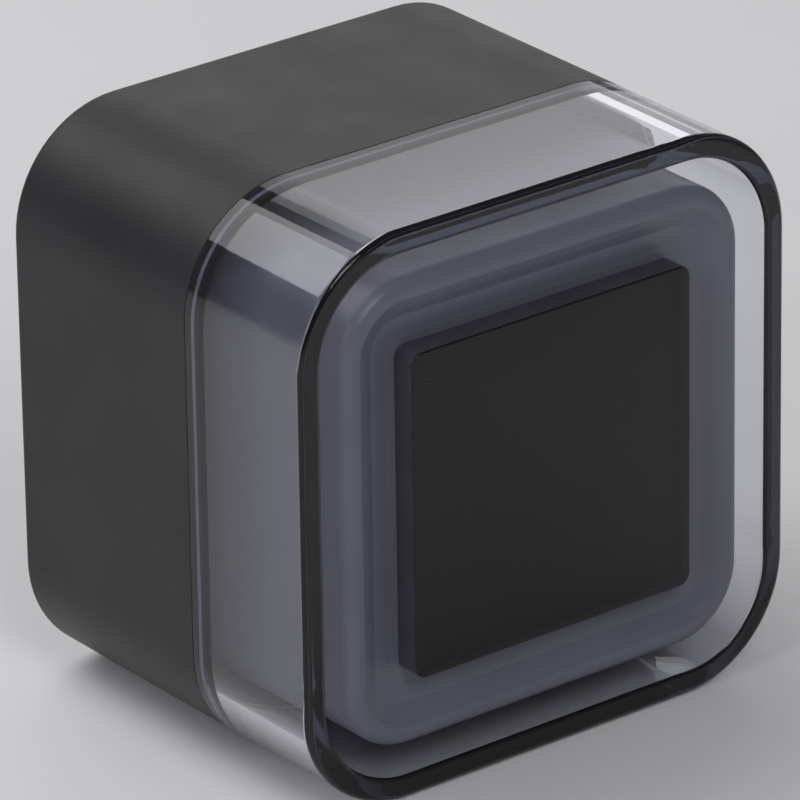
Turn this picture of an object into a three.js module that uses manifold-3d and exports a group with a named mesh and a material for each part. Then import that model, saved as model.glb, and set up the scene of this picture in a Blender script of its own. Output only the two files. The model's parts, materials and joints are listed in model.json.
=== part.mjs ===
// A small cube-shaped digital kitchen timer. Millimetres, +Z up, display facing -Y.
// The origin is the centre of the bottom face. Inside the timer group, z = 0 is the height of the
// display's centre, so that everything is laid out around the axis through the display.

import * as THREE from 'three';
import { mergeVertices } from 'three/addons/utils/BufferGeometryUtils.js';
import Module from 'manifold-3d';

const wasm = await Module();
wasm.setup();

// ---- Driving dimensions -------------------------------------------------------------------------

const WIDTH = 75;              // the front is square, so this is the height too
const DEPTH = 59;              // from the window's face to the back
const CORNER_RADIUS = 15.5;    // of the four long edges
const WINDOW_PROUD = 1;        // the window stands out in front of the clear ring
const RING_DEPTH = 22.75;      // the clear ring in front of the parting line
const RING_WALL = 3.1;
const GAP = 0.3;               // between pieces that touch

const HALF = WIDTH / 2;
const FRONT_Y = -DEPTH / 2;
const BACK_Y = DEPTH / 2;
const RING_FRONT_Y = FRONT_Y + WINDOW_PROUD;
const PARTING_Y = RING_FRONT_Y + RING_DEPTH;

const HOUSING = { wall: 2.4, back: 3, backEdge: 0.9, flangeSetback: 3.5, flange: 2 };
const RING = { outerEdge: 0.9, innerEdge: 0.3 };
const BEZEL = {
  half: 30.8, radius: 9.5, front: RING_FRONT_Y + 0.4, rear: PARTING_Y + 5, wall: 1.8, edge: 1.8,
  dishHalf: 28.2, dishRadius: 7, dishDepth: 2.2, frontWall: 2,
};
const DISH_FLOOR = BEZEL.front + BEZEL.dishDepth;
const WINDOW = { half: 21.5, radius: 1.6, front: FRONT_Y, edge: 0.25 };
const LCD = { half: 19.3, opening: 19.7, thickness: 2.6, rim: 2 };
const BACKLIGHT = { halfWidth: 17, halfHeight: 15, thickness: 1.6, ledX: 18, ledHalf: [0.7, 1.6] };
const CONTACT_STRIP = { halfLength: 17.5, halfHeight: 0.9, z: 17 };
const PCB = { half: 28.4, radius: 7, rear: FRONT_Y + 12, thickness: 1.6 };

const CASE_SCREW = {
  at: 23.5, tower: 4.4, boss: 3, recess: 3.2, seat: 8.3, head: 2.5, headHeight: 2, shank: 1.15, grip: 10,
};
const PCB_SCREW = { at: 26, boss: 2.4, head: 1.9, headHeight: 1.3, shank: 0.85, length: 5 };
const BOARD_SCREW = { x: 23.6, post: 2.4, head: 1.9, headHeight: 1.3, shank: 0.85, length: 6 };
const TUB_SCREW = { x: 30.9, post: 2.5, head: 1.9, headHeight: 1.3, shank: 0.85, length: 5 };
const PILOT_END = BACK_Y - 4.2; // the deepest that a small screw's pilot hole goes

const BUTTON = {
  z: 13.8, pitch: 15, radius: 4.5, crown: 0.5, flange: 5.5, flangeThickness: 0.7, stem: 1.7,
  top: BACK_Y - 0.1,
};
const THUMB_DISH = { radius: 12, depth: 0.4 };
const PANEL = { halfWidth: 24, bottom: 7.7, top: 20, depth: 0.8, radius: 3 };
const SWITCH = { size: 6, front: BACK_Y - 11.4, height: 3.5, plunger: 1.3, plungerOut: 1.2, well: 1.6 };
const BOARD = { halfWidth: 26.5, halfHeight: 5.1, front: BACK_Y - 13.3, thickness: 1.6 };
const RIBBON = { z: 9.5, rise: 1, thickness: 0.6, width: 8 };

const CELL = { radius: 5.25, length: 44.5, nub: 1.9, nubLength: 1.2, pitch: 10.9, y: BACK_Y - 9.05 };
const BAY = {
  z: -6, halfWidth: 25.6, halfHeight: 11.3, wall: 1.2, mouthStep: 0.6,
  floor: BACK_Y - 14.6, rim: BACK_Y - 3.3,
};
const LUG = { front: BACK_Y - 9.6, rear: BACK_Y - 8, half: 2.6 };
const DOOR = { halfWidth: 27.2, halfHeight: 12.4, radius: 2.5, recess: 1.6, skirt: 1.2, sunk: 0.1 };
const GRIP = { halfLength: 6, depth: 0.4, width: 0.6, pitch: 1.5, z: -9 };
const NOTCH = { radius: 7, depth: 1.75, height: 3.5 };
const CONTACT = { thickness: 0.4, width: 8.4, bump: 2.2, bumpLength: 2.3 };
const SPRING = { turns: 3, wide: 3.2, narrow: 2, length: 1.5, wire: 0.25 };

const BUZZER = {
  z: -26.3, radius: 6, front: BACK_Y - 10.4, mouth: 1.2, ringWall: 1.2, ringHeight: 5, hole: 0.8, holeRing: 3,
};
const WIRE = { radius: 0.6, steps: 10 };
const CHIP_PROFILE = [[0, 0], [6, 0], [5.4, 0.9], [3.4, 1.5], [0, 1.7]]; // radius, height above the board
const CRYSTAL = { radius: 1, halfLength: 3 };

const ARC_STEPS = 8;           // straight pieces in a quarter of an outer corner
const EDGE_STEPS = 3;          // steps in a rounded edge
const SMALL_ROUND = 12;        // sides of a small cylinder
const LARGE_ROUND = 20;        // sides of a large one

// ---- Geometry helpers ---------------------------------------------------------------------------

function solidOf(geometry) {
  const bare = geometry.clone();
  bare.deleteAttribute('normal');
  bare.deleteAttribute('uv');
  const merged = mergeVertices(bare, 1e-4);
  return new wasm.Manifold(new wasm.Mesh({
    numProp: 3,
    vertProperties: new Float32Array(merged.attributes.position.array),
    triVerts: new Uint32Array(merged.index.array),
  }));
}

function geometryOf(solid) {
  const mesh = solid.getMesh();
  const geometry = new THREE.BufferGeometry();
  geometry.setAttribute('position', new THREE.BufferAttribute(mesh.vertProperties, 3));
  geometry.setIndex(new THREE.BufferAttribute(mesh.triVerts, 1));
  geometry.computeVertexNormals();
  return geometry;
}

function join(...geometries) {
  return geometryOf(geometries.map(solidOf).reduce((whole, piece) => whole.add(piece)));
}

function cut(body, ...tools) {
  return geometryOf(tools.map(solidOf).reduce((whole, tool) => whole.subtract(tool), solidOf(body)));
}

function roundedRectangle(halfWidth, halfHeight, radius) {
  const x = halfWidth - radius;
  const y = halfHeight - radius;
  const quarter = Math.PI / 2;
  const shape = new THREE.Shape();
  shape.absarc(x, y, radius, 0, quarter);
  shape.absarc(-x, y, radius, quarter, 2 * quarter);
  shape.absarc(-x, -y, radius, 2 * quarter, 3 * quarter);
  shape.absarc(x, -y, radius, 3 * quarter, 4 * quarter);
  shape.closePath();
  return shape;
}

function roundedSquare(half, radius) {
  return roundedRectangle(half, half, radius);
}

// An outline drawn as seen from the front, swept from yFront back to yBack. Its two end edges can
// be rounded or, with one step, chamfered.
function prism(shape, yFront, yBack, { edge = 0, edgeSteps = EDGE_STEPS, steps = ARC_STEPS } = {}) {
  const geometry = new THREE.ExtrudeGeometry(shape, {
    depth: yBack - yFront - 2 * edge,
    curveSegments: steps,
    bevelEnabled: edge > 0,
    bevelThickness: edge,
    bevelSize: edge,
    bevelOffset: -edge,
    bevelSegments: edgeSteps,
  });
  geometry.rotateX(Math.PI / 2);
  geometry.translate(0, yBack - edge, 0);
  return geometry;
}

function block(x, y, z) {
  const geometry = new THREE.BoxGeometry(x[1] - x[0], y[1] - y[0], z[1] - z[0]);
  geometry.translate((x[0] + x[1]) / 2, (y[0] + y[1]) / 2, (z[0] + z[1]) / 2);
  return geometry;
}

// A round bar along Y.
function rod(radius, yFront, yBack, x = 0, z = 0, sides = SMALL_ROUND) {
  const geometry = new THREE.CylinderGeometry(radius, radius, yBack - yFront, sides);
  geometry.translate(x, (yFront + yBack) / 2, z);
  return geometry;
}

// A round bar along X.
function bar(radius, xLeft, xRight, y = 0, z = 0, sides = SMALL_ROUND) {
  const geometry = new THREE.CylinderGeometry(radius, radius, xRight - xLeft, sides);
  geometry.rotateZ(-Math.PI / 2);
  geometry.translate((xLeft + xRight) / 2, y, z);
  return geometry;
}

function inFrontOf(y) {
  return block([-WIDTH, WIDTH], [y - 2 * DEPTH, y], [-WIDTH, WIDTH]);
}

function behind(y) {
  return block([-WIDTH, WIDTH], [y, y + 2 * DEPTH], [-WIDTH, WIDTH]);
}

function corners(distance) {
  return [[1, 1], [-1, 1], [-1, -1], [1, -1]].map(([x, z]) => [x * distance, z * distance]);
}

function sides(distance) {
  return [[1, 0], [0, 1], [-1, 0], [0, -1]].map(([x, z]) => [x * distance, z * distance]);
}

function mesh(name, geometry, material, x = 0, y = 0, z = 0) {
  const piece = new THREE.Mesh(geometry, material.clone());
  piece.name = name;
  piece.position.set(x, y, z);
  return piece;
}

// ---- Materials ----------------------------------------------------------------------------------

function finish(color, roughness, metalness = 0, extra = {}) {
  return new THREE.MeshStandardMaterial({ color, roughness, metalness, ...extra });
}

const charcoalPlastic = finish(0x2b2a2c, 0.5);
const clearAcrylic = finish(0x8f92a0, 0.05, 0, { transparent: true, opacity: 0.35 });
const gunmetalPlastic = finish(0x4b4d58, 0.4);
const smokedWindow = finish(0x1e1c20, 0.15);
const lcdGlass = finish(0x101012, 0.2);
const whitePlastic = finish(0xd8d8d4, 0.5);
const blackPlastic = finish(0x1c1c1e, 0.55);
const greenBoard = finish(0x1f5a38, 0.45);
const blackEpoxy = finish(0x141414, 0.35);
const zincSteel = finish(0xb9bcc0, 0.35, 1);
const nickelSpring = finish(0xc9c8c2, 0.3, 1);
const rubberStrip = finish(0x4d4d50, 0.8);
const cellSleeve = finish(0x39424e, 0.4);
const redWire = finish(0xa82a20, 0.5);
const blackWire = finish(0x1a1a1a, 0.5);
const greyRibbon = finish(0x9a9ca0, 0.5);

// ---- Case ---------------------------------------------------------------------------------------

function sideWalls() {
  const front = PARTING_Y + GAP / 2;
  const outer = prism(
    roundedSquare(HALF, CORNER_RADIUS), PARTING_Y - DEPTH, BACK_Y, { edge: HOUSING.backEdge },
  );
  const inner = prism(
    roundedSquare(HALF - HOUSING.wall, CORNER_RADIUS - HOUSING.wall), front - 1, BACK_Y - HOUSING.back,
  );
  const shell = cut(outer, inFrontOf(front), inner);
  const flangeFront = PARTING_Y + HOUSING.flangeSetback;
  const flangeOutline = roundedSquare(HALF - HOUSING.wall / 2, CORNER_RADIUS - HOUSING.wall / 2);
  const flange = prism(flangeOutline, flangeFront, flangeFront + HOUSING.flange);
  const mouth = prism(roundedSquare(BEZEL.half + GAP, BEZEL.radius + GAP), flangeFront - 1, BACK_Y);
  return join(shell, cut(flange, mouth));
}

function housingPosts() {
  const backWall = BACK_Y - HOUSING.back / 2;
  const towerFront = BEZEL.rear + GAP;
  const towers = corners(CASE_SCREW.at).map(([x, z]) => rod(
    CASE_SCREW.tower, towerFront, backWall, x, z, LARGE_ROUND,
  ));
  const boardPosts = [-1, 1].map((side) => rod(
    BOARD_SCREW.post, BOARD.front + BOARD.thickness + GAP, backWall, side * BOARD_SCREW.x, BUTTON.z,
  ));
  const tubPosts = [-1, 1].map((side) => rod(
    TUB_SCREW.post, LUG.rear + GAP, backWall, side * TUB_SCREW.x, BAY.z,
  ));
  const buzzerRing = rod(
    BUZZER.radius + GAP + BUZZER.ringWall, BACK_Y - HOUSING.back - BUZZER.ringHeight, backWall,
    0, BUZZER.z, LARGE_ROUND,
  );
  return [...towers, ...boardPosts, ...tubPosts, buzzerRing];
}

function screwHoles() {
  const throughBack = BACK_Y + 1;
  const recesses = corners(CASE_SCREW.at).map(([x, z]) => rod(
    CASE_SCREW.recess, CASE_SCREW.seat, throughBack, x, z, LARGE_ROUND,
  ));
  const shanks = corners(CASE_SCREW.at).map(([x, z]) => rod(
    CASE_SCREW.shank + GAP, PARTING_Y, throughBack, x, z,
  ));
  const boardPilots = [-1, 1].map((side) => rod(
    BOARD_SCREW.shank + GAP, BOARD.front, PILOT_END, side * BOARD_SCREW.x, BUTTON.z,
  ));
  const tubPilots = [-1, 1].map((side) => rod(
    TUB_SCREW.shank + GAP, LUG.front, PILOT_END, side * TUB_SCREW.x, BAY.z,
  ));
  return [...recesses, ...shanks, ...boardPilots, ...tubPilots];
}

function backOpenings() {
  const outside = BACK_Y + 1;
  const inside = BACK_Y - HOUSING.back - 1;
  const panelHeight = PANEL.top - PANEL.bottom;
  const panel = prism(
    roundedRectangle(PANEL.halfWidth, panelHeight / 2, PANEL.radius), BACK_Y - PANEL.depth, outside,
    { steps: 6 },
  );
  panel.translate(0, 0, PANEL.bottom + panelHeight / 2);
  const buttonHoles = [-1, 0, 1].map((place) => rod(
    BUTTON.radius + GAP, inside, outside, place * BUTTON.pitch, BUTTON.z, LARGE_ROUND,
  ));
  const doorRecess = prism(
    roundedRectangle(DOOR.halfWidth + GAP, DOOR.halfHeight + GAP, DOOR.radius + GAP),
    BACK_Y - DOOR.recess, outside, { steps: 6 },
  );
  doorRecess.translate(0, 0, BAY.z);
  const bayMouth = block(
    [-BAY.halfWidth + BAY.mouthStep, BAY.halfWidth - BAY.mouthStep], [inside, outside],
    [BAY.z - BAY.halfHeight + GAP, BAY.z + BAY.halfHeight - GAP],
  );
  const fingerNotch = new THREE.SphereGeometry(NOTCH.radius, 16, 10);
  fingerNotch.scale(1, NOTCH.depth / NOTCH.radius, NOTCH.height / NOTCH.radius);
  fingerNotch.translate(0, BACK_Y, BAY.z - DOOR.halfHeight - GAP);
  const soundHoles = [[0, 0], ...sides(BUZZER.holeRing)].map(([x, z]) => rod(
    BUZZER.hole, inside, outside, x, BUZZER.z + z, 8,
  ));
  const buzzerSeat = rod(
    BUZZER.radius + GAP, BUZZER.front, BACK_Y - HOUSING.back, 0, BUZZER.z, LARGE_ROUND,
  );
  return [panel, ...buttonHoles, doorRecess, bayMouth, fingerNotch, ...soundHoles, buzzerSeat];
}

function rearHousing() {
  return cut(join(sideWalls(), ...housingPosts()), ...screwHoles(), ...backOpenings());
}

function frontRing() {
  const rear = PARTING_Y - GAP / 2;
  const outer = prism(
    roundedSquare(HALF, CORNER_RADIUS), RING_FRONT_Y, BACK_Y, { edge: RING.outerEdge },
  );
  const innerHalf = HALF - RING_WALL;
  const innerRadius = CORNER_RADIUS - RING_WALL;
  const bore = prism(roundedSquare(innerHalf, innerRadius), RING_FRONT_Y - 1, BACK_Y);
  const flare = prism(
    roundedSquare(innerHalf + 2 * RING.innerEdge, innerRadius + 2 * RING.innerEdge),
    RING_FRONT_Y - RING.innerEdge, RING_FRONT_Y + RING.innerEdge,
    { edge: 0.99 * RING.innerEdge, edgeSteps: 1 },
  );
  return cut(outer, behind(rear), bore, flare);
}

function caseScrew() {
  const headFront = CASE_SCREW.seat + GAP;
  const shank = rod(CASE_SCREW.shank, BEZEL.rear - CASE_SCREW.grip, headFront + 0.5);
  const head = rod(CASE_SCREW.head, headFront, headFront + CASE_SCREW.headHeight);
  return crossRecess(join(shank, head), headFront + CASE_SCREW.headHeight, CASE_SCREW.head);
}

// A cross-shaped driver recess in a screw head whose top is at y = top, facing +Y or -Y.
function crossRecess(screw, top, headRadius, facing = 1) {
  const arm = 0.62 * headRadius;
  const slot = 0.14 * headRadius;
  const y = [top - 0.7, top + 0.7];
  const depth = facing > 0 ? y : [-y[1], -y[0]];
  return cut(screw, block([-arm, arm], depth, [-slot, slot]), block([-slot, slot], depth, [-arm, arm]));
}

// A pan-head screw driven towards -Y or, with facing -1, towards +Y. The head's seat is at y = 0.
function boardScrewShape(size, facing) {
  const shank = facing > 0 ? rod(size.shank, -size.length, 0.3) : rod(size.shank, -0.3, size.length);
  const head = facing > 0 ? rod(size.head, 0, size.headHeight) : rod(size.head, -size.headHeight, 0);
  return crossRecess(join(shank, head), size.headHeight, size.head, facing);
}

// ---- Display ------------------------------------------------------------------------------------

function bezel() {
  const outer = prism(
    roundedSquare(BEZEL.half, BEZEL.radius), BEZEL.front, BACK_Y, { edge: BEZEL.edge },
  );
  const dish = prism(
    roundedSquare(BEZEL.dishHalf, BEZEL.dishRadius), BEZEL.front - 3 * BEZEL.dishDepth, DISH_FLOOR,
    { edge: BEZEL.dishDepth, edgeSteps: 1 },
  );
  const innerHalf = BEZEL.half - BEZEL.wall;
  const hollow = prism(
    roundedSquare(innerHalf, BEZEL.radius - BEZEL.wall), DISH_FLOOR + BEZEL.frontWall, BACK_Y,
  );
  const lcdOpening = prism(roundedSquare(LCD.opening, 0.8), FRONT_Y, BACK_Y, { steps: 3 });
  const shell = cut(outer, behind(BEZEL.rear), dish, hollow);
  const inFrontWall = DISH_FLOOR + BEZEL.frontWall / 2;
  const caseBosses = corners(CASE_SCREW.at).map(([x, z]) => rod(
    CASE_SCREW.boss, inFrontWall, BEZEL.rear, x, z,
  ));
  const pcbFront = PCB.rear - PCB.thickness;
  const pcbBosses = sides(PCB_SCREW.at).map(([x, z]) => rod(
    PCB_SCREW.boss, inFrontWall, pcbFront - GAP, x, z,
  ));
  const casePilots = corners(CASE_SCREW.at).map(([x, z]) => rod(
    CASE_SCREW.shank + GAP, BEZEL.rear - CASE_SCREW.grip - 0.5, BACK_Y, x, z,
  ));
  const pcbPilots = sides(PCB_SCREW.at).map(([x, z]) => rod(
    PCB_SCREW.shank + GAP, PCB.rear + GAP - PCB_SCREW.length - 0.5, BACK_Y, x, z,
  ));
  return cut(join(shell, ...caseBosses, ...pcbBosses), lcdOpening, ...casePilots, ...pcbPilots);
}

function displayWindow() {
  return prism(
    roundedSquare(WINDOW.half, WINDOW.radius), WINDOW.front, DISH_FLOOR - GAP,
    { edge: WINDOW.edge, edgeSteps: 2, steps: 6 },
  );
}

function lcdPanel() {
  return prism(roundedSquare(LCD.half, 0.4), DISH_FLOOR, DISH_FLOOR + LCD.thickness, { steps: 2 });
}

function lcdHolder() {
  const front = DISH_FLOOR + BEZEL.frontWall + GAP;
  const rear = PCB.rear - PCB.thickness - GAP;
  const frame = prism(roundedSquare(LCD.half + LCD.rim, 3), front, rear, { steps: 4 });
  const opening = prism(roundedSquare(LCD.half + GAP, 0.5), FRONT_Y, 0, { steps: 2 });
  return cut(frame, opening);
}

function displayGroup() {
  const group = new THREE.Group();
  const lightFront = DISH_FLOOR + LCD.thickness + GAP;
  const lightDepth = [lightFront, lightFront + BACKLIGHT.thickness];
  const { halfWidth, halfHeight, ledX, ledHalf } = BACKLIGHT;
  const lightPlate = block([-halfWidth, halfWidth], lightDepth, [-halfHeight, halfHeight]);
  const led = block([-ledHalf[0], ledHalf[0]], lightDepth, [-ledHalf[1], ledHalf[1]]);
  const strip = block(
    [-CONTACT_STRIP.halfLength, CONTACT_STRIP.halfLength],
    [lightFront, PCB.rear - PCB.thickness - GAP],
    [-CONTACT_STRIP.halfHeight, CONTACT_STRIP.halfHeight],
  );
  group.add(
    mesh('display_bezel', bezel(), gunmetalPlastic),
    mesh('display_window', displayWindow(), smokedWindow),
    mesh('lcd_panel', lcdPanel(), lcdGlass),
    mesh('lcd_holder', lcdHolder(), whitePlastic),
    mesh('backlight_plate', lightPlate, whitePlastic),
    mesh('backlight_led_left', led, whitePlastic, -ledX, 0, 0),
    mesh('backlight_led_right', led, whitePlastic, ledX, 0, 0),
    mesh('contact_strip_top', strip, rubberStrip, 0, 0, CONTACT_STRIP.z),
    mesh('contact_strip_bottom', strip, rubberStrip, 0, 0, -CONTACT_STRIP.z),
  );
  return group;
}

// ---- Electronics --------------------------------------------------------------------------------

function mainBoard() {
  const front = PCB.rear - PCB.thickness;
  const plate = prism(roundedSquare(PCB.half, PCB.radius), front, PCB.rear, { steps: 5 });
  const bossHoles = corners(CASE_SCREW.at).map(([x, z]) => rod(
    CASE_SCREW.boss + GAP, front - 1, PCB.rear + 1, x, z,
  ));
  const screwHolesThrough = sides(PCB_SCREW.at).map(([x, z]) => rod(
    PCB_SCREW.shank + GAP, front - 1, PCB.rear + 1, x, z,
  ));
  return cut(plate, ...bossHoles, ...screwHolesThrough);
}

function wire(name, points, material) {
  const path = new THREE.CatmullRomCurve3(points.map(([x, y, z]) => new THREE.Vector3(x, y, z)));
  const section = new THREE.Shape();
  section.absarc(0, 0, WIRE.radius, 0, 2 * Math.PI);
  const tube = new THREE.ExtrudeGeometry(section, {
    steps: WIRE.steps, curveSegments: 3, bevelEnabled: false, extrudePath: path,
  });
  return mesh(name, tube, material);
}

function ribbon() {
  const start = PCB.rear + GAP;
  const end = BOARD.front - GAP;
  const bend = (end - start) / 3;
  const low = RIBBON.z;
  const high = RIBBON.z + RIBBON.rise;
  const shape = new THREE.Shape();
  shape.moveTo(start, low);
  shape.bezierCurveTo(start + bend, low, end - bend, high, end, high);
  shape.lineTo(end, high + RIBBON.thickness);
  shape.bezierCurveTo(
    end - bend, high + RIBBON.thickness, start + bend, low + RIBBON.thickness, start, low + RIBBON.thickness,
  );
  shape.closePath();
  const geometry = new THREE.ExtrudeGeometry(shape, {
    depth: RIBBON.width, curveSegments: 8, bevelEnabled: false,
  });
  geometry.rotateX(Math.PI / 2);
  geometry.rotateZ(Math.PI / 2);
  geometry.translate(-RIBBON.width / 2, 0, 0);
  return geometry;
}

function electronicsGroup() {
  const group = new THREE.Group();
  const chipFront = PCB.rear + GAP;
  const domeProfile = CHIP_PROFILE.map(([radius, height]) => new THREE.Vector2(radius, height));
  const dome = new THREE.LatheGeometry(domeProfile, 24);
  const crystal = bar(CRYSTAL.radius, -CRYSTAL.halfLength, CRYSTAL.halfLength);
  group.add(
    mesh('main_board', mainBoard(), greenBoard),
    mesh('controller_chip', dome, blackEpoxy, -8, chipFront, -2),
    mesh('crystal_can', crystal, zincSteel, 10, chipFront + CRYSTAL.radius, -12),
  );
  const pcbScrew = boardScrewShape(PCB_SCREW, 1);
  sides(PCB_SCREW.at).forEach(([x, z], index) => {
    group.add(mesh(`board_screw_${index + 1}`, pcbScrew, zincSteel, x, PCB.rear + GAP, z));
  });
  const buzzer = cut(
    rod(BUZZER.radius, BUZZER.front, BACK_Y - HOUSING.back - GAP, 0, 0, LARGE_ROUND),
    rod(BUZZER.mouth, BACK_Y - HOUSING.back - 2, BACK_Y),
  );
  const solder = PCB.rear + GAP + 0.1;
  const buzzerEnd = BUZZER.front - 0.4;
  const buzzerWire = (x) => [
    [x, solder, -20], [1.5 * x, -8, -22], [1.5 * x, 6, -25], [1.25 * x, buzzerEnd, -26],
  ];
  const redEnd = LUG.front - 1.4;
  const redPath = [[-20, solder, 4], [-24, -6, 5], [-29, 8, 3], [-29.4, redEnd, -2]];
  const blackEnd = LUG.front - 3.4;
  const blackPath = [[-20, solder, -12], [-24, -6, -14], [-29, 6, -12], [-29.4, blackEnd, -11]];
  group.add(
    mesh('buzzer', buzzer, blackPlastic, 0, 0, BUZZER.z),
    wire('buzzer_wire_red', buzzerWire(-2), redWire),
    wire('buzzer_wire_black', buzzerWire(2), blackWire),
    wire('battery_wire_red', redPath, redWire),
    wire('battery_wire_black', blackPath, blackWire),
    mesh('board_ribbon', ribbon(), greyRibbon),
  );
  return group;
}

// ---- Controls on the back -----------------------------------------------------------------------

function button() {
  const wallInside = BACK_Y - HOUSING.back;
  const cap = rod(BUTTON.radius, wallInside - 1, BUTTON.top - BUTTON.crown, 0, 0, LARGE_ROUND);
  const crown = new THREE.CylinderGeometry(
    BUTTON.radius - BUTTON.crown, BUTTON.radius, BUTTON.crown, LARGE_ROUND,
  );
  crown.translate(0, BUTTON.top - BUTTON.crown / 2, 0);
  const flangeRear = wallInside - GAP;
  const flange = rod(BUTTON.flange, flangeRear - BUTTON.flangeThickness, flangeRear, 0, 0, LARGE_ROUND);
  const stemFront = SWITCH.front + SWITCH.height + SWITCH.plungerOut + GAP;
  const stem = rod(BUTTON.stem, stemFront, wallInside - 0.5);
  const thumbDish = new THREE.SphereGeometry(THUMB_DISH.radius, 24, 24);
  thumbDish.translate(0, BUTTON.top + THUMB_DISH.radius - THUMB_DISH.depth, 0);
  return cut(join(cap, crown, flange, stem), thumbDish);
}

function tactSwitch() {
  const half = SWITCH.size / 2;
  const rear = SWITCH.front + SWITCH.height;
  const body = block([-half, half], [SWITCH.front, rear], [-half, half]);
  return cut(body, rod(SWITCH.plunger + GAP, rear - SWITCH.well, rear + 1));
}

function buttonBoard() {
  const rear = BOARD.front + BOARD.thickness;
  const plate = block(
    [-BOARD.halfWidth, BOARD.halfWidth], [BOARD.front, rear], [-BOARD.halfHeight, BOARD.halfHeight],
  );
  const holes = [-1, 1].map((side) => rod(
    BOARD_SCREW.shank + GAP, BOARD.front - 1, rear + 1, side * BOARD_SCREW.x,
  ));
  return cut(plate, ...holes);
}

function controlsGroup() {
  const group = new THREE.Group();
  group.position.z = BUTTON.z;
  const switchRear = SWITCH.front + SWITCH.height;
  const plunger = rod(SWITCH.plunger, switchRear - SWITCH.well + 0.7, switchRear + SWITCH.plungerOut);
  ['minute', 'start', 'second'].forEach((use, index) => {
    const x = (1 - index) * BUTTON.pitch;
    group.add(
      mesh(`${use}_button`, button(), blackPlastic, x),
      mesh(`${use}_switch_plunger`, plunger, whitePlastic, x),
      mesh(`${use}_switch_body`, tactSwitch(), blackPlastic, x),
    );
  });
  group.add(mesh('button_board', buttonBoard(), greenBoard));
  const screw = boardScrewShape(BOARD_SCREW, -1);
  [-1, 1].forEach((side, index) => {
    const x = side * BOARD_SCREW.x;
    group.add(mesh(`button_board_screw_${index + 1}`, screw, zincSteel, x, BOARD.front - GAP));
  });
  return group;
}

// ---- Batteries ----------------------------------------------------------------------------------

function batteryTub() {
  const { halfWidth, halfHeight, wall, floor, rim } = BAY;
  const outer = block(
    [-halfWidth - wall, halfWidth + wall], [floor - wall, rim], [-halfHeight - wall, halfHeight + wall],
  );
  const inner = block([-halfWidth, halfWidth], [floor, rim + 1], [-halfHeight, halfHeight]);
  const lugs = block([-TUB_SCREW.x, TUB_SCREW.x], [LUG.front, LUG.rear], [-LUG.half, LUG.half]);
  const ears = [-1, 1].map((side) => rod(LUG.half, LUG.front, LUG.rear, side * TUB_SCREW.x));
  const holes = [-1, 1].map((side) => rod(
    TUB_SCREW.shank + GAP, LUG.front - 1, LUG.rear + 1, side * TUB_SCREW.x,
  ));
  return cut(join(outer, lugs, ...ears), inner, ...holes);
}

// A cell with its positive nub towards +X.
function cell() {
  const half = CELL.length / 2;
  const body = bar(CELL.radius, -half, half - CELL.nubLength, 0, 0, LARGE_ROUND);
  const nub = bar(CELL.nub, half - CELL.nubLength - 0.5, half);
  return join(body, nub);
}

// The plate stands against the bay's right end wall, with a bump towards the cell for each height.
function contactPlate(heights, bumps) {
  const outer = BAY.halfWidth - GAP;
  const inner = outer - CONTACT.thickness;
  const half = CONTACT.width / 2;
  const plate = block(
    [inner, outer], [-half, half], [Math.min(...heights) - half, Math.max(...heights) + half],
  );
  const raised = bumps.map((z) => bar(CONTACT.bump, inner - CONTACT.bumpLength, outer - 0.1, 0, z));
  return raised.length ? join(plate, ...raised) : plate;
}

class CellSpringCurve extends THREE.Curve {
  getPoint(t, target = new THREE.Vector3()) {
    const angle = 2 * Math.PI * SPRING.turns * t;
    const radius = SPRING.wide + (SPRING.narrow - SPRING.wide) * t;
    return target.set(-SPRING.length * t, radius * Math.cos(angle), radius * Math.sin(angle));
  }
}

function cellSpring() {
  const section = new THREE.Shape();
  section.absarc(0, 0, SPRING.wire, 0, 2 * Math.PI);
  return new THREE.ExtrudeGeometry(section, {
    steps: 30, curveSegments: 3, bevelEnabled: false, extrudePath: new CellSpringCurve(),
  });
}

function batteryDoor() {
  const outside = BACK_Y - DOOR.sunk;
  const inside = BACK_Y - DOOR.recess + GAP;
  const plate = prism(
    roundedRectangle(DOOR.halfWidth, DOOR.halfHeight, DOOR.radius), inside, outside, { steps: 6 },
  );
  const skirtX = BAY.halfWidth - BAY.mouthStep - GAP;
  const skirtZ = BAY.halfHeight - 2 * GAP;
  const skirtFront = CELL.y + CELL.radius + GAP;
  const skirtOuter = block([-skirtX, skirtX], [skirtFront, inside + 0.5], [-skirtZ, skirtZ]);
  const skirtInner = block(
    [-skirtX + DOOR.skirt, skirtX - DOOR.skirt], [skirtFront - 1, inside],
    [-skirtZ + DOOR.skirt, skirtZ - DOOR.skirt],
  );
  const gripGrooves = [-1, 0, 1].map((place) => {
    const z = GRIP.z + place * GRIP.pitch;
    return block(
      [-GRIP.halfLength, GRIP.halfLength], [outside - GRIP.depth, outside + 1],
      [z - GRIP.width / 2, z + GRIP.width / 2],
    );
  });
  return cut(join(plate, skirtOuter), skirtInner, ...gripGrooves);
}

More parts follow.
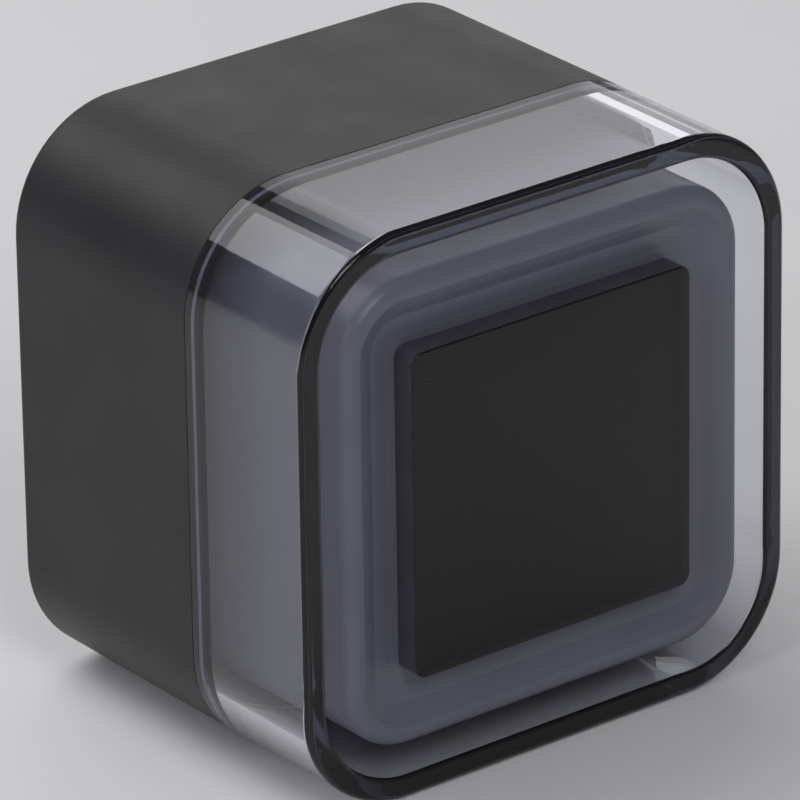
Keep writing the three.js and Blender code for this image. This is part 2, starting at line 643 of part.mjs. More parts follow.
function batteryGroup() {
  const group = new THREE.Group();
  group.position.z = BAY.z;
  const upper = CELL.pitch / 2;
  const lower = -upper;
  const springX = BAY.halfWidth - CONTACT.thickness - 2 * GAP - SPRING.wire;
  const upperCell = mesh('battery_cell_upper', cell(), cellSleeve, 0, CELL.y, upper);
  const lowerCell = mesh('battery_cell_lower', cell(), cellSleeve, 0, CELL.y, lower);
  lowerCell.rotation.y = Math.PI;
  const plusPlate = mesh('contact_plate_plus', contactPlate([upper], [upper]), nickelSpring, 0, CELL.y);
  plusPlate.rotation.y = Math.PI;
  const minusPlate = mesh('contact_plate_minus', contactPlate([lower], []), nickelSpring, 0, CELL.y);
  minusPlate.rotation.y = Math.PI;
  const upperSpring = mesh('cell_spring_upper', cellSpring(), nickelSpring, -springX, CELL.y, upper);
  upperSpring.rotation.y = Math.PI;
  group.add(
    mesh('battery_tub', batteryTub(), blackPlastic),
    upperCell,
    lowerCell,
    mesh('contact_plate_bridge', contactPlate([lower, upper], [upper]), nickelSpring, 0, CELL.y),
    plusPlate,
    minusPlate,
    upperSpring,
    mesh('cell_spring_lower', cellSpring(), nickelSpring, springX, CELL.y, lower),
    mesh('battery_door', batteryDoor(), charcoalPlastic),
  );
  const screw = boardScrewShape(TUB_SCREW, -1);
  [-1, 1].forEach((side, index) => {
    const x = side * TUB_SCREW.x;
    group.add(mesh(`tub_screw_${index + 1}`, screw, zincSteel, x, LUG.front - GAP));
  });
  return group;
}

// ---- Assembly -----------------------------------------------------------------------------------

function caseGroup() {
  const group = new THREE.Group();
  group.add(
    mesh('rear_housing', rearHousing(), charcoalPlastic),
    mesh('front_ring', frontRing(), clearAcrylic),
  );
  const screw = caseScrew();
  corners(CASE_SCREW.at).forEach(([x, z], index) => {
    group.add(mesh(`case_screw_${index + 1}`, screw, zincSteel, x, 0, z));
  });
  return group;
}

const timer = new THREE.Group();
timer.position.z = HALF;
timer.add(caseGroup(), displayGroup(), electronicsGroup(), controlsGroup(), batteryGroup());

const part = new THREE.Group();
part.add(timer);

export default part;
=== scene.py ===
"""Cube-shaped kitchen timer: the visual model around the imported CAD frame, in metres."""
import json
import math

import bmesh
import bpy
from mathutils import Matrix, Vector


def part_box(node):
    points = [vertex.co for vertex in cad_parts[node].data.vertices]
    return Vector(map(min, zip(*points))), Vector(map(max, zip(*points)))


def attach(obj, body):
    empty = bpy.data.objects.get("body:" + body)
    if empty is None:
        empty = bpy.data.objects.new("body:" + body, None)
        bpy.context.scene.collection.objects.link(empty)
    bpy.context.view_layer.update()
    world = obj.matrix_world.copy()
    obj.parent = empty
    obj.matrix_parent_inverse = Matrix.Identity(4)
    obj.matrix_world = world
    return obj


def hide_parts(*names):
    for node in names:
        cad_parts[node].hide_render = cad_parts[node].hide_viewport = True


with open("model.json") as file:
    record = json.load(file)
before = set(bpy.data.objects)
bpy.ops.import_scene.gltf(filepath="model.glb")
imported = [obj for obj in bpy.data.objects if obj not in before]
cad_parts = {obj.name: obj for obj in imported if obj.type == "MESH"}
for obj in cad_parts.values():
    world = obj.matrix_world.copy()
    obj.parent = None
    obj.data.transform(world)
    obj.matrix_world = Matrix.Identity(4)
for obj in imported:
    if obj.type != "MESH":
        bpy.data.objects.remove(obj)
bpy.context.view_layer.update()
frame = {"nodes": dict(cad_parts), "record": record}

MM = 0.001
CORNER_STEPS = 16        # faces in a quarter of a rounded corner
ROUND_SIDES = 64         # sides of a turned piece
HOLD = 0.08 * MM         # how close to an edge a flat is held flat
HOLD_SHARE = 0.3         # the most of a short flat that one hold may take
LONG_RUN = 4 * HOLD      # a run of a profile longer than this is held at both ends
WELD = 0.0001 * MM       # points closer than this are one point

housing_low, housing_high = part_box("rear_housing")
ring_low, ring_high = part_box("front_ring")
bezel_low, bezel_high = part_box("display_bezel")
window_low, window_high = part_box("display_window")
door_low, door_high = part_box("battery_door")

HALF = ring_high.x
CENTRE_Z = HALF
CORNER = 15.5 * MM       # radius of the four long edges
RING_FRONT = ring_low.y
RING_WALL = 3.1 * MM
PARTING = (ring_high.y + housing_low.y) / 2
SEAM = 0.06 * MM         # half of the visible gap between the ring and the housing
BACK = housing_high.y
BACK_WALL = 3 * MM
DISH_FLOOR = RING_FRONT + 2.6 * MM

FIT = 0.3 * MM           # gap around a moving or seated piece
CUT_PAST = 1 * MM        # how far a cutter reaches past the wall that it cuts

BUTTON_Z = CENTRE_Z + 13.8 * MM
BUTTON_PITCH = 15 * MM
BUTTON_RADIUS = 4.5 * MM
BUTTON_PLACES = {"minute": BUTTON_PITCH, "start": 0.0, "second": -BUTTON_PITCH}     # along X
PANEL_HALF = (24 * MM, 6.15 * MM)        # half width and half height
PANEL_Z = CENTRE_Z + 13.85 * MM
PANEL_CORNER = 3 * MM
PANEL_DEPTH = 0.8 * MM

DOOR_Z = CENTRE_Z - 6 * MM
DOOR_HALF = (door_high.x, (door_high.z - door_low.z) / 2)
DOOR_CORNER = 2.5 * MM
DOOR_RECESS = 1.6 * MM
BAY_HALF = (25 * MM, 11 * MM)
BAY_CORNER = 0.5 * MM

BUZZER_Z = CENTRE_Z - 26.3 * MM
SOUND_HOLE = 0.8 * MM
SOUND_HOLE_PITCH = 3 * MM

SCREW_AT = 23.5 * MM
SCREW_RECESS = 3.2 * MM
SCREW_TOWER = 4.4 * MM
SCREW_HEAD = 2 * MM
SCREW_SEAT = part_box("case_screw_1")[1].y - SCREW_HEAD - FIT


# ---- Mesh helpers -------------------------------------------------------------------------------

def new_object(name, mesh, material=None):
    """Puts a mesh into the scene as a piece of its own."""
    piece = bpy.data.objects.new(name, mesh)
    bpy.context.scene.collection.objects.link(piece)
    if material:
        mesh.materials.append(material)
    return piece


def mesh_from(name, vertices, faces):
    """A mesh with its doubled points merged and its faces turned outwards."""
    mesh = bpy.data.meshes.new(name)
    mesh.from_pydata(vertices, [], faces)
    editable = bmesh.new()
    editable.from_mesh(mesh)
    bmesh.ops.remove_doubles(editable, verts=editable.verts, dist=WELD)
    bmesh.ops.recalc_face_normals(editable, faces=editable.faces)
    editable.to_mesh(mesh)
    editable.free()
    return mesh


def smooth(piece, angle=35):
    """Shades a piece smoothly, apart from the edges that turn by more than angle degrees."""
    for face in piece.data.polygons:
        face.use_smooth = True
    piece.data.set_sharp_from_angle(angle=math.radians(angle))
    return piece


def between(start, end, share):
    """The point at share of the way from start to end."""
    return tuple(a + (b - a) * share for a, b in zip(start, end))


def quarter_turn(steps):
    """Angles from 0 to 90 degrees in equal steps."""
    return [math.radians(90) * step / steps for step in range(steps + 1)]


def rounded_loop(half_x, half_z, y, radius, centre_z=CENTRE_Z):
    """A rounded rectangle at depth y, with a point held just beyond each end of every corner."""
    corners = []
    for quarter, (side_x, side_z) in enumerate(((1, 1), (-1, 1), (-1, -1), (1, -1))):
        corner = []
        for step in range(CORNER_STEPS + 1):
            angle = math.radians(90) * (quarter + step / CORNER_STEPS)
            x = side_x * (half_x - radius) + radius * math.cos(angle)
            z = centre_z + side_z * (half_z - radius) + radius * math.sin(angle)
            corner.append((x, y, z))
        corners.append(corner)
    points = []
    for corner, following in zip(corners, corners[1:] + corners[:1]):
        flat_start, flat_end = corner[-1], following[0]
        share = min(HOLD / math.dist(flat_start, flat_end), HOLD_SHARE)
        points += corner
        points.append(between(flat_start, flat_end, share))
        points.append(between(flat_start, flat_end, 1 - share))
    return points


def loft(name, loops, material=None, closed=False):
    """Joins equal loops into a skin. Open ends are capped; a closed one joins its last to its first."""
    count = len(loops[0])
    vertices = [point for loop in loops for point in loop]
    faces = []
    for ring in range(len(loops) - (0 if closed else 1)):
        start = ring * count
        end = (ring + 1) % len(loops) * count
        for k in range(count):
            j = (k + 1) % count
            faces.append((start + k, start + j, end + j, end + k))
    if not closed:
        faces.append(tuple(range(count)))
        faces.append(tuple((len(loops) - 1) * count + k for k in range(count)))
    return new_object(name, mesh_from(name, vertices, faces), material)


def held(profile, closed):
    """Adds a section just inside each end of every long run, so that its shading stays flat."""
    following = profile[1:] + profile[:1]
    sections = []
    for index, (start, end) in enumerate(zip(profile, following)):
        sections.append(start)
        length = math.dist(start[:2], end[:2])
        if length > LONG_RUN and (closed or index < len(profile) - 1):
            sections += [between(start, end, HOLD / length), between(start, end, 1 - HOLD / length)]
    return sections


def square_loft(name, profile, material=None, closed=False):
    """profile: (half width, y, corner radius) of rounded squares around the display's axis."""
    loops = [rounded_loop(half, half, y, radius) for half, y, radius in held(profile, closed)]
    return loft(name, loops, material, closed)


def plate(name, half, y_range, corner, centre_z, edge=0.0, material=None):
    """A rounded rectangle between two depths, with its rear edge rounded by edge."""
    front, rear = y_range
    sections = [(0, front), (0, rear - edge)]
    if edge:
        sections += [
            (edge * (1 - math.cos(turn)), rear - edge * (1 - math.sin(turn)))
            for turn in quarter_turn(3)[1:]
        ]
    loops = [
        rounded_loop(half[0] - inset, half[1] - inset, y, corner - inset, centre_z)
        for inset, y in sections
    ]
    return loft(name, loops, material)


def turned(name, profile, x=0.0, z=CENTRE_Z, material=None, sides=ROUND_SIDES):
    """A body of revolution about an axis along Y. profile: (radius, y)."""
    turns = [2 * math.pi * k / sides for k in range(sides)]
    loops = [
        [(x + radius * math.cos(turn), y, z + radius * math.sin(turn)) for turn in turns]
        for radius, y in profile
    ]
    return loft(name, loops, material)


def rod(radius, front, rear, x, z, sides=ROUND_SIDES):
    """A plain round bar along Y, to join to a piece or to cut from it."""
    return turned("rod", [(radius, front), (radius, rear)], x, z, sides=sides)


def outer_edge(half, y, radius, size, towards_y, steps=8):
    """Sections of a rounded edge that turns inwards from a side wall onto a face at y."""
    return [
        (
            half - size * (1 - math.cos(turn)),
            y + towards_y * size * (1 - math.sin(turn)),
            radius - size * (1 - math.cos(turn)),
        )
        for turn in quarter_turn(steps)
    ]


def bore_edge(half, y, radius, size):
    """Sections of a rounded edge that turns from a front face at y back into a bore."""
    return [
        (
            half + size * (1 - math.sin(turn)),
            y + size * (1 - math.cos(turn)),
            radius + size * (1 - math.sin(turn)),
        )
        for turn in quarter_turn(4)
    ]


def applied(piece):
    """Makes the piece's modifiers permanent."""
    bpy.context.view_layer.update()
    evaluated = piece.evaluated_get(bpy.context.evaluated_depsgraph_get())
    result = bpy.data.meshes.new_from_object(evaluated)
    piece.modifiers.clear()
    piece.data = result


def combine(piece, others, operation="DIFFERENCE"):
    """Cuts the others out of piece, or joins them to it, and removes them."""
    for other in others:
        modifier = piece.modifiers.new("combine", "BOOLEAN")
        modifier.operation = operation
        modifier.solver = "EXACT"
        modifier.object = other
    applied(piece)
    for other in others:
        bpy.data.objects.remove(other)


def keep_flats(piece):
    """Lets the large faces decide the normals, which keeps them flat beside rounded edges."""
    modifier = piece.modifiers.new("flats", "WEIGHTED_NORMAL")
    modifier.keep_sharp = True
    modifier.weight = 80
    applied(piece)


# ---- Material helpers ---------------------------------------------------------------------------

class Finish:
    """A Principled material with a few short ways to drive it from procedural textures."""

    def __init__(self, name, color, roughness, **sockets):
        self.material = bpy.data.materials.new(name)
        self.material.use_nodes = True
        self.nodes = self.material.node_tree.nodes
        self.links = self.material.node_tree.links
        self.shader = self.nodes["Principled BSDF"]
        self.color = color
        self.roughness = roughness
        self.shader.inputs["Base Color"].default_value = (*color, 1)
        self.shader.inputs["Roughness"].default_value = roughness
        for socket, value in sockets.items():
            self.shader.inputs[socket.replace("_", " ")].default_value = value
        self.height = None

    def noise(self, per_mm, detail=2.0, stretch=(1, 1, 1)):
        """Noise with about per_mm features to the millimetre."""
        mapping = self.nodes.new("ShaderNodeMapping")
        mapping.inputs["Scale"].default_value = stretch
        coordinates = self.nodes.new("ShaderNodeTexCoord")
        self.links.new(coordinates.outputs["Object"], mapping.inputs["Vector"])
        noise = self.nodes.new("ShaderNodeTexNoise")
        noise.inputs["Scale"].default_value = per_mm / MM
        noise.inputs["Detail"].default_value = detail
        self.links.new(mapping.outputs[0], noise.inputs["Vector"])
        return noise.outputs["Fac"]

    def spread(self, source, low, high, start=0.3, end=0.7):
        """Maps source's start..end onto low..high."""
        ramp = self.nodes.new("ShaderNodeMapRange")
        ramp.inputs["From Min"].default_value = start
        ramp.inputs["From Max"].default_value = end
        ramp.inputs["To Min"].default_value = low
        ramp.inputs["To Max"].default_value = high
        self.links.new(source, ramp.inputs["Value"])
        return ramp.outputs[0]

    def vary_color(self, source, other, start=0.3, end=0.7):
        """Mixes towards the colour other where source is high."""
        mix = self.nodes.new("ShaderNodeMix")
        mix.data_type = "RGBA"
        mix.inputs["A"].default_value = (*self.color, 1)
        mix.inputs["B"].default_value = (*other, 1)
        self.links.new(self.spread(source, 0, 1, start, end), mix.inputs["Factor"])
        self.links.new(mix.outputs["Result"], self.shader.inputs["Base Color"])

    def vary_roughness(self, source, change):
        """Lets the roughness swing by change to either side."""
        low, high = self.roughness - change, self.roughness + change
        self.links.new(self.spread(source, low, high), self.shader.inputs["Roughness"])

    def bump(self, source, depth_mm):
        """Adds a bump whose height is depth_mm from source 0 to 1."""
        bump = self.nodes.new("ShaderNodeBump")
        bump.inputs["Distance"].default_value = depth_mm * MM
        self.links.new(source, bump.inputs["Height"])
        if self.height:
            self.links.new(self.height, bump.inputs["Normal"])
        self.height = bump.outputs["Normal"]
        self.links.new(self.height, self.shader.inputs["Normal"])

    def absorb(self, color, density):
        """Takes up light inside the piece; color is what is left over, density is per metre."""
        absorb = self.nodes.new("ShaderNodeVolumeAbsorption")
        absorb.inputs["Color"].default_value = (*color, 1)
        absorb.inputs["Density"].default_value = density
        self.links.new(absorb.outputs[0], self.nodes["Material Output"].inputs["Volume"])


# ---- Materials ----------------------------------------------------------------------------------

def housing_plastic():
    """Satin charcoal plastic with a very fine spark-eroded grain."""
    finish = Finish("housing_plastic", (0.016, 0.0155, 0.0175), 0.44, Specular_IOR_Level=0.33)
    finish.vary_color(finish.noise(0.05), (0.021, 0.0205, 0.023))
    finish.vary_roughness(finish.noise(0.12, 4), 0.03)
    finish.bump(finish.noise(5, 3), 0.005)
    finish.bump(finish.noise(0.06), 0.015)
    return finish.material


def clear_acrylic():
    """Thick polished acrylic with a light smoke tint that deepens with the length of the path."""
    finish = Finish(
        "clear_acrylic", (0.96, 0.965, 1), 0.0,
        Transmission_Weight=1.0, IOR=1.49, Specular_IOR_Level=0.22,
    )
    finish.vary_color(finish.noise(0.05), (0.93, 0.935, 0.985))
    finish.absorb((0.4, 0.41, 0.5), 32)
    return finish.material


def gunmetal_plastic():
    """Satin lilac-grey gunmetal paint."""
    finish = Finish("gunmetal_plastic", (0.13, 0.131, 0.171), 0.36)
    finish.vary_color(finish.noise(0.08), (0.143, 0.144, 0.188))
    finish.vary_roughness(finish.noise(0.3, 4), 0.03)
    finish.bump(finish.noise(6, 3), 0.003)
    return finish.material


def window_acrylic():
    """Dark smoked acrylic with polished faces."""
    finish = Finish(
        "window_acrylic", (1, 1, 1), 0.0,
        Transmission_Weight=1.0, IOR=1.45, Specular_IOR_Level=0.1,
    )
    finish.vary_color(finish.noise(0.06), (0.95, 0.95, 0.96))
    finish.absorb((0.33, 0.33, 0.36), 60)
    return finish.material


def window_side_painted_light():
    """The block's side faces, finely milled, drawn as an opaque grey: painted light that stands in for
    the light seen through the clear sides.
    """
    finish = Finish("window_side_painted_light", (0.05, 0.05, 0.062), 0.3)
    finish.vary_color(finish.noise(0.15), (0.065, 0.065, 0.08))
    finish.bump(finish.noise(3, 2, (1, 0.1, 1)), 0.004)
    return finish.material


def bonded_face_painted_light():
    """Lilac-grey paint as it looks through the clear ring that it is bonded to, drawn about three times
    lighter than the gunmetal paint as painted light, since little light reaches this hidden face.
    """
    finish = Finish("bonded_face_painted_light", (0.42, 0.43, 0.56), 0.5)
    finish.vary_color(finish.noise(0.08), (0.45, 0.46, 0.6))
    return finish.material


def lcd_glass():
    """The black face of a display that is switched off."""
    finish = Finish("lcd_glass", (0.0015, 0.0013, 0.0017), 0.4, Specular_IOR_Level=0.1)
    finish.vary_color(finish.noise(0.1), (0.0022, 0.0019, 0.0024))
    return finish.material


def plain_plastic(name, color, roughness):
    """A plain moulded or coated material with a slight mottle."""
    finish = Finish(name, color, roughness)
    finish.vary_color(finish.noise(0.2), tuple(1.15 * c for c in color))
    finish.vary_roughness(finish.noise(0.5, 3), 0.05)
    finish.bump(finish.noise(4, 2), 0.006)
    return finish.material


def metal(name, color, roughness):
    """Bare metal with fine brushing."""
    stretch = (1, 1, 12)
    finish = Finish(name, color, roughness, Metallic=1.0)
    finish.vary_roughness(finish.noise(2, 3, stretch), 0.08)
    finish.bump(finish.noise(3, 3, stretch), 0.003)
    finish.vary_color(finish.noise(0.6), tuple(0.8 * c for c in color))
    return finish.material


def circuit_board():
    """Green solder mask with faint raised tracks."""
    finish = Finish("circuit_board", (0.012, 0.09, 0.035), 0.35)
    tracks = finish.noise(0.7, 1, (1, 1, 0.15))
    finish.vary_color(tracks, (0.02, 0.14, 0.05), 0.48, 0.52)
    finish.bump(tracks, 0.03)
    return finish.material


MATERIALS = {
    "housing_plastic": housing_plastic(),
    "clear_acrylic": clear_acrylic(),
    "gunmetal_plastic": gunmetal_plastic(),
    "window_acrylic": window_acrylic(),
    "lcd_glass": lcd_glass(),
    "white_plastic": plain_plastic("white_plastic", (0.66, 0.66, 0.63), 0.45),
    "black_plastic": plain_plastic("black_plastic", (0.014, 0.014, 0.015), 0.42),
    "circuit_board": circuit_board(),
    "epoxy": plain_plastic("epoxy", (0.006, 0.006, 0.006), 0.3),
    "steel": metal("steel", (0.5, 0.51, 0.53), 0.32),
    "nickel": metal("nickel", (0.62, 0.6, 0.56), 0.25),
    "rubber": plain_plastic("rubber", (0.07, 0.07, 0.075), 0.75),
    "cell_sleeve": plain_plastic("cell_sleeve", (0.035, 0.05, 0.08), 0.3),
    "red_wire": plain_plastic("red_wire", (0.38, 0.02, 0.012), 0.4),
    "black_wire": plain_plastic("black_wire", (0.01, 0.01, 0.01), 0.4),
    "grey_ribbon": plain_plastic("grey_ribbon", (0.32, 0.33, 0.34), 0.5),
}


def finish_piece(piece, body, slot, *replaced):
    """Ties a finished piece to its body, in place of CAD nodes. The slot argument is not used."""
    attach(piece, body)
    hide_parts(*replaced)


# ---- Case ---------------------------------------------------------------------------------------

def housing_shell():
    """The rounded-square shell with its back wall, before anything is cut into the back."""
    wall = 2.1 * MM
    back_edge = 0.9 * MM
    front_edge = 0.12 * MM
    rim = 6 * MM
    front = PARTING + SEAM
    profile = [(HALF - rim, BACK, CORNER - rim)]
    profile += outer_edge(HALF, BACK, CORNER, back_edge, -1)[::-1]
    profile += outer_edge(HALF, front, CORNER, front_edge, 1, steps=3)
    profile += [(HALF - wall, front, CORNER - wall), (HALF - wall, BACK - BACK_WALL, CORNER - wall)]
    return square_loft("housing_shell", profile, MATERIALS["housing_plastic"])


def corner_places():
    """The (x, z) of the four case screws."""
    return [(sx * SCREW_AT, CENTRE_Z + sz * SCREW_AT) for sx in (-1, 1) for sz in (-1, 1)]


def panel_cutters(inside, outside):
    """The shallow panel and the three button holes in it."""
    panel = plate("panel", PANEL_HALF, (BACK - PANEL_DEPTH, outside), PANEL_CORNER, PANEL_Z)
    hole = BUTTON_RADIUS + FIT
    return [panel] + [rod(hole, inside, outside, x, BUTTON_Z) for x in BUTTON_PLACES.values()]


def door_cutters(inside, outside):
    """The recess that the door lies in, and the mouth of the battery bay."""
    half = tuple(side + FIT for side in DOOR_HALF)
    recess = plate("recess", half, (BACK - DOOR_RECESS, outside), DOOR_CORNER + FIT, DOOR_Z)
    return [recess, plate("mouth", BAY_HALF, (inside, outside), BAY_CORNER, DOOR_Z)]


def notch_cutter(outside):
    """The finger notch at the door's lower edge: a round bowl, stretched to twice its width."""
    radius, depth = 3.4 * MM, 1.75 * MM
    # Degrees from the bowl's deepest point, where it is left slightly flat, to just below its rim.
    turns = [math.radians(degrees) for degrees in range(3, 91, 8)]
    profile = [(radius * math.sin(turn), BACK - depth * math.cos(turn)) for turn in turns]
    notch = turned("notch", profile + [(radius, outside)], 0, DOOR_Z - DOOR_HALF[1] - FIT)
    notch.data.transform(Matrix.Diagonal((2, 1, 1, 1)))
    return notch


def sound_hole_cutters(inside, outside):
    """One hole over the buzzer's middle and four around it."""
    cutters = []
    for right, up in ((0, 0), (1, 0), (-1, 0), (0, 1), (0, -1)):
        x = right * SOUND_HOLE_PITCH
        z = BUZZER_Z + up * SOUND_HOLE_PITCH
        cutters.append(rod(SOUND_HOLE, inside, outside, x, z, sides=24))
    return cutters


def back_cutters():
    """Everything that is cut into the back wall."""
    outside = BACK + CUT_PAST
    inside = BACK - BACK_WALL - CUT_PAST
    cutters = panel_cutters(inside, outside)
    cutters += door_cutters(inside, outside)
    cutters.append(notch_cutter(outside))
    cutters += sound_hole_cutters(inside, outside)
    cutters += [rod(SCREW_RECESS, SCREW_SEAT, outside, x, z) for x, z in corner_places()]
    return cutters


def rear_housing():
    """The shell with its four screw towers and its cut back."""
    housing = housing_shell()
    tower_front = bezel_high.y + FIT
    tower_rear = BACK - 1 * MM
    towers = [rod(SCREW_TOWER, tower_front, tower_rear, x, z) for x, z in corner_places()]
    combine(housing, towers, "UNION")
    combine(housing, back_cutters())
    keep_flats(smooth(housing, angle=25))
    finish_piece(housing, "case", "housing_plastic", "rear_housing")


def depth_inside(point):
    """How far a point lies inside the timer's rounded-square outline."""
    beyond_x = max(abs(point.x) - (HALF - CORNER), 0)
    beyond_z = max(abs(point.z - CENTRE_Z) - (HALF - CORNER), 0)
    return CORNER - math.hypot(beyond_x, beyond_z)


def front_ring():
    """The clear ring. Its rear face is bonded to the black housing and, inside that, to the bezel; that
    inner band carries a lighter copy of the bezel's paint as painted light.
    """
    bond = 2.05 * MM
    edge, inner_edge = 0.9 * MM, 0.6 * MM
    rear = PARTING - SEAM
    inner, inner_radius = HALF - RING_WALL, CORNER - RING_WALL
    profile = [(inner, rear, inner_radius), (HALF - bond, rear, CORNER - bond), (HALF, rear, CORNER)]
    profile += outer_edge(HALF, RING_FRONT, CORNER, edge, 1)
    profile += bore_edge(inner, RING_FRONT, inner_radius, inner_edge)
    ring = smooth(square_loft("clear_ring", profile, MATERIALS["clear_acrylic"], closed=True))
    ring.data.materials.append(MATERIALS["housing_plastic"])
    # Slot 2 is a lighter copy of the gunmetal paint: painted light on the hidden inner band of the rear
    # face.
    ring.data.materials.append(bonded_face_painted_light())
    for face in ring.data.polygons:
        if abs(face.center.y - rear) < 0.01 * MM:
            face.material_index = 1 if depth_inside(face.center) < bond else 2
    finish_piece(ring, "case", "clear_acrylic", "front_ring")


# ---- Display ------------------------------------------------------------------------------------

def display_bezel():
    """The gunmetal body: a rounded front edge, a soft dish and an opening for the LCD."""
    half, radius = bezel_high.x, 9.5 * MM
    crest = bezel_low.y
    edge = 1.8 * MM
    crest_width, crest_fall = 0.8 * MM, 0.12 * MM
    wall = 1.8 * MM
    front_wall = 2 * MM
    opening, opening_corner = 19.7 * MM, 1 * MM
    # The dish, from the crest inwards: half width, depth below the crest and corner radius, in mm.
    dish = [
        (27.0, 0.7, 5.0), (25.6, 1.5, 4.3), (24.2, 1.8, 3.4), (23.0, 2.1, 2.6), (21.8, 2.2, 2.0),
    ]
    profile = [(half, bezel_high.y, radius)]
    profile += outer_edge(half, crest, radius, edge, 1)
    profile.append((half - edge - crest_width, crest + crest_fall, radius - edge - crest_width))
    profile += [(width * MM, crest + depth * MM, corner * MM) for width, depth, corner in dish]
    profile += [
        (opening, DISH_FLOOR, opening_corner),
        (opening, DISH_FLOOR + front_wall, opening_corner),
        (half - wall, DISH_FLOOR + front_wall, radius - wall),
        (half - wall, bezel_high.y, radius - wall),
    ]
    bezel = square_loft("gunmetal_bezel", profile, MATERIALS["gunmetal_plastic"], closed=True)
    finish_piece(smooth(bezel), "case", "gunmetal_plastic", "display_bezel")


def display_window():
    """The smoked block: milled sides painted an opaque grey as painted light and, as its rear face, the
    black LCD that it lies on.
    """
    half, radius = window_high.x, 1.6 * MM
    edge = 0.2 * MM
    rear = DISH_FLOOR - 0.02 * MM
    profile = [(half, rear, radius)]
    profile += outer_edge(half, window_low.y, radius, edge, 1, steps=4)
    window = smooth(square_loft("window_block", profile, MATERIALS["window_acrylic"]))
    window.data.materials.append(window_side_painted_light())
    window.data.materials.append(MATERIALS["lcd_glass"])
    # Side faces get the opaque grey that stands in, as painted light, for the light seen through them.
    for face in window.data.polygons:
        if abs(face.normal.y) < 0.1:
            face.material_index = 1
        elif face.normal.y > 0.9:
            face.material_index = 2
    finish_piece(window, "case", "window_acrylic", "display_window")


def lcd_panel():
    """The black glass behind the window, with the dark border that hides its edges."""
    border, border_corner = 21.4 * MM, 1.5 * MM
    block, block_corner = 19.6 * MM, 1 * MM
    face = DISH_FLOOR - 0.015 * MM
    border_rear = DISH_FLOOR - 0.005 * MM
    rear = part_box("lcd_panel")[1].y
    profile = [
        (border, face, border_corner),
        (border, border_rear, border_corner),
        (block, border_rear, block_corner),
        (block, rear, block_corner),
    ]
    panel = square_loft("lcd_block", profile, MATERIALS["lcd_glass"])
    finish_piece(smooth(panel), "case", "lcd_glass", "lcd_panel")


# ---- Controls and battery door ------------------------------------------------------------------

def push_button(use, x):
    """A round cap with a rounded crown and a shallow thumb dish, on a flange and a stem."""
    low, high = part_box(f"{use}_button")
    top = high.y
    stem = 1.7 * MM
    crown = 0.5 * MM
    flange, flange_thickness = 5.5 * MM, 0.7 * MM
    flange_rear = BACK - BACK_WALL - FIT
    flange_front = flange_rear - flange_thickness
    dish_radius, dish_depth, dish_steps = 3.1 * MM, 0.4 * MM, 8
    profile = [
        (stem, low.y), (stem, flange_front),
        (flange, flange_front), (flange, flange_rear), (BUTTON_RADIUS, flange_rear),
    ]
    for turn in quarter_turn(6):
        radius = BUTTON_RADIUS - crown * (1 - math.cos(turn))
        profile.append((radius, top - crown * (1 - math.sin(turn))))
    for step in range(dish_steps):
        share = 1 - step / dish_steps
        profile.append((dish_radius * share, top - dish_depth * (1 - share ** 2)))
    cap = turned(f"{use}_cap", profile, x, BUTTON_Z, MATERIALS["black_plastic"])
    finish_piece(smooth(cap), f"{use}_button", "black_plastic", f"{use}_button")


def grip_grooves():
    """Cutters for the three grooves that a finger grips near the door's lower edge."""
    half = (6 * MM, 0.3 * MM)
    corner = 0.28 * MM
    depth = 0.4 * MM
    pitch = 1.5 * MM
    middle_z = DOOR_Z - 9 * MM
    y_range = (door_high.y - depth, door_high.y + CUT_PAST)
    return [plate("groove", half, y_range, corner, middle_z + place * pitch) for place in (-1, 0, 1)]


def battery_door():
    """A thin panel with a hollow skirt that plugs into the bay's mouth."""
    inside = BACK - DOOR_RECESS + FIT
    edge = 0.3 * MM
    skirt_wall = 1.2 * MM
    skirt_overlap = 0.5 * MM
    hollow_corner = 0.4 * MM
    door = plate(
        "door_panel", DOOR_HALF, (inside, door_high.y), DOOR_CORNER, DOOR_Z, edge,
        MATERIALS["housing_plastic"],
    )
    skirt_half = tuple(half - FIT for half in BAY_HALF)
    skirt = plate("skirt", skirt_half, (door_low.y, inside + skirt_overlap), BAY_CORNER, DOOR_Z)
    combine(door, [skirt], "UNION")
    hollow_half = tuple(half - skirt_wall for half in skirt_half)
    hollow = plate("hollow", hollow_half, (door_low.y - CUT_PAST, inside), hollow_corner, DOOR_Z)
    combine(door, [hollow, *grip_grooves()])
    keep_flats(smooth(door, angle=25))
    finish_piece(door, "battery_door", "housing_plastic", "battery_door")


def battery_cell(node, facing):
    """An AAA cell with rolled ends, its nub towards +X when facing is 1."""
    low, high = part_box(node)
    centre = (low + high) / 2
    half = (high.x - low.x) / 2
    radius, roll = (high.y - low.y) / 2, 0.4 * MM
    nub, nub_length, nub_edge = 1.9 * MM, 1.2 * MM, 0.2 * MM
    shoulder = half - nub_length
    rolled = [(1 - math.cos(turn), 1 - math.sin(turn)) for turn in quarter_turn(5)]
    profile = [(radius - roll * rim, roll * end - half) for rim, end in rolled[::-1]]
    profile += [(radius - roll * rim, shoulder - roll * end) for rim, end in rolled]
    profile += [(nub, shoulder), (nub, half - nub_edge), (nub - nub_edge, half)]
    cell = smooth(turned(f"{node}_can", profile, z=0, material=MATERIALS["cell_sleeve"]))
    lay_along_x = Matrix.Rotation(math.radians(-90 * facing), 4, "Z")
    cell.data.transform(Matrix.Translation(centre) @ lay_along_x)
    finish_piece(cell, "case", "cell_sleeve", node)


# ---- Assembly -----------------------------------------------------------------------------------

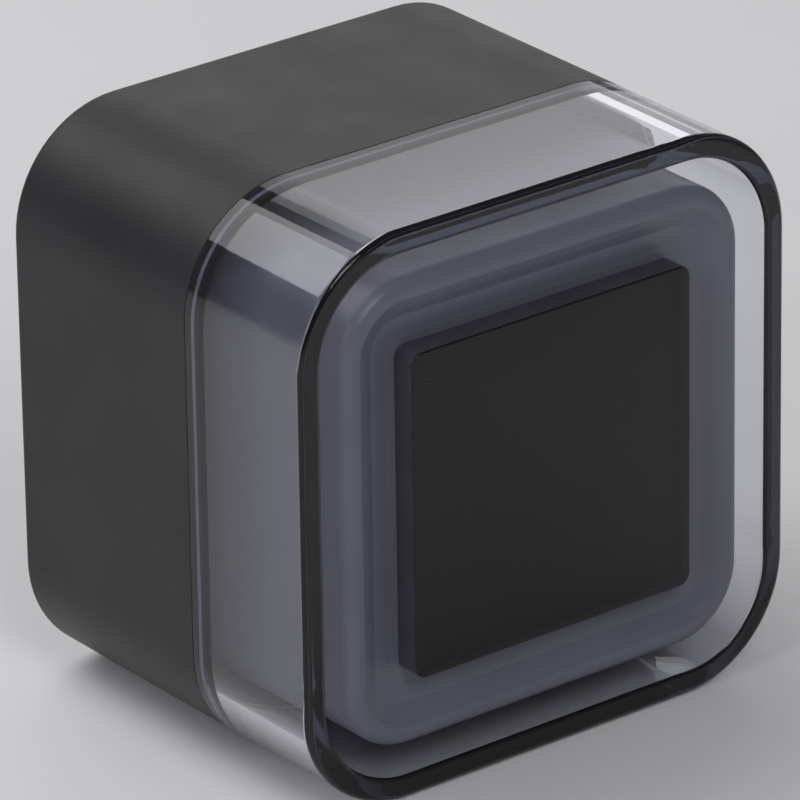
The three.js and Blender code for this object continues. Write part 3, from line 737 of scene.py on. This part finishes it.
rear_housing()
front_ring()
display_bezel()
display_window()
lcd_panel()
for button_use, button_x in BUTTON_PLACES.items():
    push_button(button_use, button_x)
battery_door()
battery_cell("battery_cell_upper", 1)
battery_cell("battery_cell_lower", -1)

SLOTS = {row["node"]: row["material_slot"] for row in frame["record"]["subparts"]}
for node, piece in frame["nodes"].items():
    piece.data.materials.clear()
    piece.data.materials.append(MATERIALS[SLOTS[node]])


# ---- Stage, light and camera --------------------------------------------------------------------

AZIMUTH = math.radians(-37.68)
ELEVATION = math.radians(24.29)
ROLL = math.radians(-0.89)
DISTANCE = 1.0082
LENS = 366.5             # focal length and sensor width, in the camera's own millimetres
SENSOR = 36
AIM = Vector((0, -0.5 * MM, CENTRE_Z))
AIM_SHIFT = (-0.81 * MM, -0.45 * MM)     # right and up, in the view


def make_camera():
    """The photograph's viewpoint: the front, seen from the left and above through a long lens."""
    back = Vector((
        math.sin(AZIMUTH) * math.cos(ELEVATION),
        -math.cos(AZIMUTH) * math.cos(ELEVATION),
        math.sin(ELEVATION),
    ))
    level = Vector((math.cos(AZIMUTH), math.sin(AZIMUTH), 0))
    right = Matrix.Rotation(ROLL, 3, back) @ level
    up = back.cross(right)
    data = bpy.data.cameras.new("camera")
    data.lens = LENS
    data.sensor_width = SENSOR
    camera = bpy.data.objects.new("camera", data)
    bpy.context.scene.collection.objects.link(camera)
    matrix = Matrix((right, up, back)).transposed().to_4x4()
    matrix.translation = AIM + AIM_SHIFT[0] * right + AIM_SHIFT[1] * up + DISTANCE * back
    camera.matrix_world = matrix
    bpy.context.scene.camera = camera


def softbox(name, place, size, power, color=(1, 1, 1)):
    """A rectangular area light aimed at the timer's middle."""
    data = bpy.data.lights.new(name, "AREA")
    data.shape = "RECTANGLE"
    data.size, data.size_y = size
    data.energy = power
    data.color = color
    light = bpy.data.objects.new(name, data)
    bpy.context.scene.collection.objects.link(light)
    light.location = place
    towards_timer = Vector((0, 0, CENTRE_Z)) - Vector(place)
    light.rotation_euler = towards_timer.to_track_quat("-Z", "Y").to_euler()


def make_floor():
    """A wide paper floor, set a hair below the timer's underside."""
    reach = 3.0
    level = -0.05 * MM
    corners = [(x * reach, y * reach, level) for x, y in ((-1, -1), (1, -1), (1, 1), (-1, 1))]
    finish = Finish("paper_floor", (0.8, 0.8, 0.805), 0.7)
    finish.vary_color(finish.noise(0.02), (0.82, 0.82, 0.825))
    new_object("floor", mesh_from("floor", corners, [(0, 1, 2, 3)]), finish.material)


def make_light():
    """A dim studio room and four softboxes."""
    scene = bpy.context.scene
    world = bpy.data.worlds.new("studio")
    world.use_nodes = True
    background = world.node_tree.nodes["Background"]
    background.inputs["Color"].default_value = (0.95, 0.96, 1.0, 1)
    background.inputs["Strength"].default_value = 0.2
    scene.world = world
    softbox("key_softbox", (-0.35, 0.65, 1.0), (1.0, 1.0), 7)
    softbox("back_softbox", (0.67, 0.87, 0.53), (0.9, 0.7), 1.8)
    softbox("left_softbox", (-0.8, -0.15, 0.45), (0.4, 0.4), 1.5, (0.95, 0.95, 1.0))
    softbox("front_softbox", (-0.25, -0.85, 0.85), (0.5, 0.5), 3)
    scene.view_settings.view_transform = "Standard"
    # Light crosses many faces on its way through the clear ring.
    scene.cycles.max_bounces = 24
    scene.cycles.transmission_bounces = 20


make_camera()
make_floor()
make_light()
